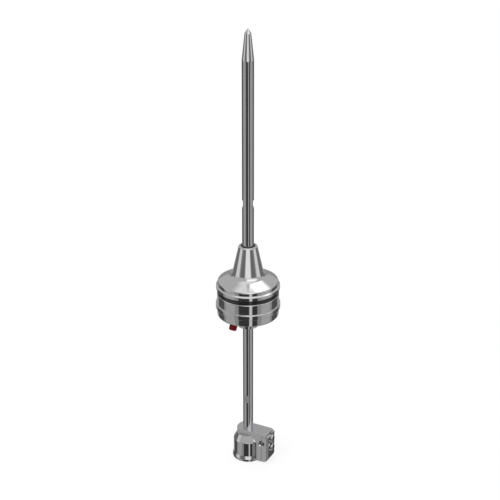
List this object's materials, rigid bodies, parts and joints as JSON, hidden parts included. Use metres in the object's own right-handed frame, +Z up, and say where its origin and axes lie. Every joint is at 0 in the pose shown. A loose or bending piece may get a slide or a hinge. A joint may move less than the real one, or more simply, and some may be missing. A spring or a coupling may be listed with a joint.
{
  "type": "lightning rod",
  "caption": "Pointed steel lightning rod with a round trigger head under a cone, a lower rod and a bottom clamp that sockets on a mast and grips a round down conductor.",
  "frame": {"origin": "middle of the clamp's foot, on the rod's axis", "axes": "+Z up the rod to its point, +X out along the clamp's ear"},
  "size_m": [0.0992, 0.0992, 0.7075],
  "materials": {
    "polished_steel": "turned and polished stainless steel",
    "plain_steel": "plain stainless fasteners",
    "brass": "turned brass",
    "black_polymer": "glossy black insulating polymer",
    "black_rubber": "matt black rubber",
    "red_plastic": "dark red moulded plastic",
    "tray_laminate": "green glass laminate",
    "potting_resin": "dark potting resin",
    "capacitor_sleeve": "blue dipped capacitors"
  },
  "bodies": {
    "root": {"capture_rod": "polished_steel", "upper_bush": "black_polymer", "rod_seal": "black_rubber", "upper_housing": "polished_steel", "upper_gasket": "black_rubber", "insulator_ring": "black_polymer", "lower_gasket": "black_rubber", "lower_housing": "polished_steel", "spark_pins": "brass", "module_tray": "tray_laminate", "tray_screws": "plain_steel", "trigger_module": "potting_resin", "capacitors": "capacitor_sleeve", "center_stud": "plain_steel", "jam_nut": "plain_steel", "rod_washer": "plain_steel", "floor_nut": "plain_steel", "floor_washer": "plain_steel", "collar": "polished_steel", "lower_rod": "polished_steel", "test_socket": "brass", "test_nut": "brass", "cap_seal": "black_rubber", "test_cap": "red_plastic", "clamp_body": "polished_steel", "rod_set_screw": "plain_steel", "clamp_jaw": "polished_steel", "jaw_washers": "plain_steel", "jaw_bolts": "plain_steel"}
  },
  "joints": []
}
